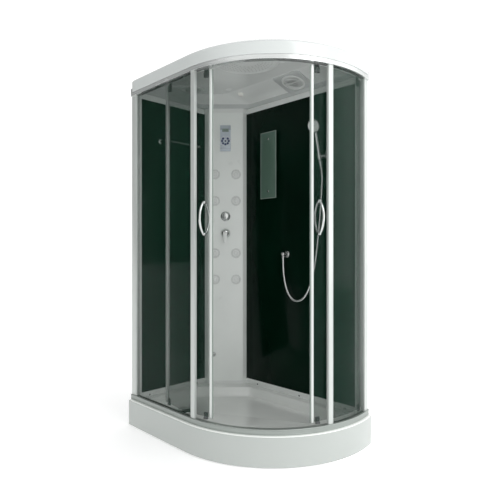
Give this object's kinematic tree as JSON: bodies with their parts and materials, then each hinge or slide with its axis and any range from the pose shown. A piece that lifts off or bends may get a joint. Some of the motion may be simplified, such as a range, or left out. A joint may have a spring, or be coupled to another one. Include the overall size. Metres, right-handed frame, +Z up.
{
  "type": "steam shower cabin",
  "caption": "Asymmetric corner steam shower cabin with curved sliding glass doors, control column, handshower and domed roof.",
  "frame": {"origin": "on the floor, in the middle of the cabin's 1200 by 800 mm plan", "axes": "+Z up; +X along the long wall to the right as seen from the front; +Y towards the long back wall; the curved door front faces -Y and +X"},
  "size_m": [1.2, 0.8, 2.15],
  "materials": {
    "tray_acrylic": "gloss",
    "galvanised_steel": "satin",
    "foot_steel": "satin",
    "drain_plastic": "matte",
    "polished_chrome": "polished",
    "dark_glass_panel": "gloss",
    "white_profile": "satin",
    "column_white": "satin",
    "satin_aluminium": "satin",
    "tinted_glass": "clear",
    "door_profile": "satin",
    "guide_plastic": "satin",
    "roller_nylon": "satin",
    "roof_acrylic": "gloss",
    "white_trim": "satin",
    "lamp_cover": "satin",
    "control_silver": "satin",
    "display_glass": "gloss",
    "button_blue": "satin",
    "valve_brass": "satin",
    "hose_chrome": "polished",
    "mirror_glass": "mirror",
    "generator_case": "satin"
  },
  "bodies": {
    "cabin": {"shower_tray": "tray_acrylic", "front_apron": "tray_acrylic", "tray_frame": "galvanised_steel", "levelling_feet": "foot_steel", "drain_trap": "drain_plastic", "drain_cover": "polished_chrome", "long_back_panel": "dark_glass_panel", "short_back_panel": "dark_glass_panel", "panel_frames": "white_profile", "corner_column": "column_white", "column_caps": "column_white", "bottom_rail": "satin_aluminium", "top_rail": "satin_aluminium", "wall_profiles": "satin_aluminium", "front_profiles": "satin_aluminium", "left_fixed_glass": "tinted_glass", "right_fixed_glass": "tinted_glass", "roof_shell": "roof_acrylic", "overhead_shower": "white_trim", "fan_housing": "white_trim", "speaker": "white_trim", "roof_light": "lamp_cover", "control_housing": "control_silver", "display": "display_glass", "body_jets": "polished_chrome", "valve_body": "valve_brass", "hose_elbow": "polished_chrome", "shower_hose": "hose_chrome", "riser_rail": "polished_chrome", "mirror": "mirror_glass", "towel_bar": "polished_chrome", "steam_generator": "generator_case", "steam_outlet": "polished_chrome"},
    "left_door": {"left_door_glass": "tinted_glass", "left_door_frame": "door_profile", "left_door_handle": "polished_chrome", "left_door_carriers": "guide_plastic"},
    "left_lead_roller": {"left_lead_roller": "roller_nylon"},
    "left_tail_roller": {"left_tail_roller": "roller_nylon"},
    "right_door": {"right_door_glass": "tinted_glass", "right_door_frame": "door_profile", "right_door_handle": "polished_chrome", "right_door_carriers": "guide_plastic"},
    "right_lead_roller": {"right_lead_roller": "roller_nylon"},
    "right_tail_roller": {"right_tail_roller": "roller_nylon"},
    "ring_button_1": {"ring_button_1": "button_blue"},
    "ring_button_2": {"ring_button_2": "button_blue"},
    "ring_button_3": {"ring_button_3": "button_blue"},
    "ring_button_4": {"ring_button_4": "button_blue"},
    "ring_button_5": {"ring_button_5": "button_blue"},
    "ring_button_6": {"ring_button_6": "button_blue"},
    "ring_button_7": {"ring_button_7": "button_blue"},
    "centre_button": {"centre_button": "button_blue"},
    "diverter": {"diverter_knob": "polished_chrome"},
    "mixer": {"mixer_cap": "polished_chrome"},
    "lever": {"mixer_lever": "polished_chrome"},
    "slider": {"slider": "polished_chrome"},
    "hand_unit": {"shower_holder": "polished_chrome", "handshower": "polished_chrome"},
    "fan": {"fan_impeller": "drain_plastic"}
  },
  "joints": [
    {"name": "left_door_slide", "type": "hinge", "parent": "cabin", "child": "left_door", "pos_m": [-0.11858, 0.45921, 1.09], "axis": [0, 0, 1], "range_deg": [0, 17.61]},
    {"name": "right_door_slide", "type": "hinge", "parent": "cabin", "child": "right_door", "pos_m": [-0.04, 0.24, 1.09], "axis": [0, 0, -1], "range_deg": [0, 25.17]},
    {"name": "left_lead_roller_spin", "type": "hinge", "parent": "left_door", "child": "left_lead_roller", "pos_m": [0.05924, -0.34966, 2.0143], "axis": [0.2818, -0.9595, 0], "range_deg": [-1500, 0]},
    {"name": "left_tail_roller_spin", "type": "hinge", "parent": "left_door", "child": "left_tail_roller", "pos_m": [-0.26835, -0.35274, 2.0143], "axis": [-0.2637, -0.9646, 0], "range_deg": [-1500, 0]},
    {"name": "right_lead_roller_spin", "type": "hinge", "parent": "right_door", "child": "right_lead_roller", "pos_m": [0.51713, 0.01592, 2.0143], "axis": [0.9278, -0.3732, 0], "range_deg": [0, 1500]},
    {"name": "right_tail_roller_spin", "type": "hinge", "parent": "right_door", "child": "right_tail_roller", "pos_m": [0.55183, 0.34169, 2.0143], "axis": [0.9856, 0.1693, 0], "range_deg": [0, 1500]},
    {"name": "ring_button_1_press", "type": "slide", "parent": "cabin", "child": "ring_button_1", "axis": [-0.7071, 0.7071, 0], "range_m": [0, 0.0015], "stiffness_N_per_m": 600},
    {"name": "ring_button_2_press", "type": "slide", "parent": "cabin", "child": "ring_button_2", "axis": [-0.7071, 0.7071, 0], "range_m": [0, 0.0015], "stiffness_N_per_m": 600},
    {"name": "ring_button_3_press", "type": "slide", "parent": "cabin", "child": "ring_button_3", "axis": [-0.7071, 0.7071, 0], "range_m": [0, 0.0015], "stiffness_N_per_m": 600},
    {"name": "ring_button_4_press", "type": "slide", "parent": "cabin", "child": "ring_button_4", "axis": [-0.7071, 0.7071, 0], "range_m": [0, 0.0015], "stiffness_N_per_m": 600},
    {"name": "ring_button_5_press", "type": "slide", "parent": "cabin", "child": "ring_button_5", "axis": [-0.7071, 0.7071, 0], "range_m": [0, 0.0015], "stiffness_N_per_m": 600},
    {"name": "ring_button_6_press", "type": "slide", "parent": "cabin", "child": "ring_button_6", "axis": [-0.7071, 0.7071, 0], "range_m": [0, 0.0015], "stiffness_N_per_m": 600},
    {"name": "ring_button_7_press", "type": "slide", "parent": "cabin", "child": "ring_button_7", "axis": [-0.7071, 0.7071, 0], "range_m": [0, 0.0015], "stiffness_N_per_m": 600},
    {"name": "centre_button_press", "type": "slide", "parent": "cabin", "child": "centre_button", "axis": [-0.7071, 0.7071, 0], "range_m": [0, 0.0015], "stiffness_N_per_m": 600},
    {"name": "diverter_turn", "type": "hinge", "parent": "cabin", "child": "diverter", "pos_m": [-0.4425, 0.2425, 1.286], "axis": [0.7071, -0.7071, 0], "range_deg": [-90, 90]},
    {"name": "mixer_swivel", "type": "hinge", "parent": "cabin", "child": "mixer", "pos_m": [-0.4425, 0.2425, 1.171], "axis": [0.7071, -0.7071, 0], "range_deg": [-45, 45]},
    {"name": "lever_lift", "type": "hinge", "parent": "mixer", "child": "lever", "pos_m": [-0.41188, 0.21188, 1.171], "axis": [-0.7071, -0.7071, 0], "range_deg": [0, 25]},
    {"name": "slider_height", "type": "slide", "parent": "cabin", "child": "slider", "axis": [0, 0, 1], "range_m": [-0.3, 0.12], "deforming": ["shower_hose"]},
    {"name": "holder_tilt", "type": "hinge", "parent": "slider", "child": "hand_unit", "pos_m": [0.287, 0.323, 1.6], "axis": [1, 0, 0], "range_deg": [-2, 10], "deforming": ["shower_hose"]},
    {"name": "fan_spin", "type": "hinge", "parent": "cabin", "child": "fan", "pos_m": [0.126, 0.277, 2.0575], "axis": [0, 0.2919, 0.9564], "continuous": true}
  ],
  "couplings": [
    {"joint": "left_lead_roller_spin", "follows": "left_door_slide", "ratio": -75.108},
    {"joint": "left_tail_roller_spin", "follows": "left_door_slide", "ratio": -74.792},
    {"joint": "right_lead_roller_spin", "follows": "right_door_slide", "ratio": 54.591},
    {"joint": "right_tail_roller_spin", "follows": "right_door_slide", "ratio": 54.591}
  ]
}
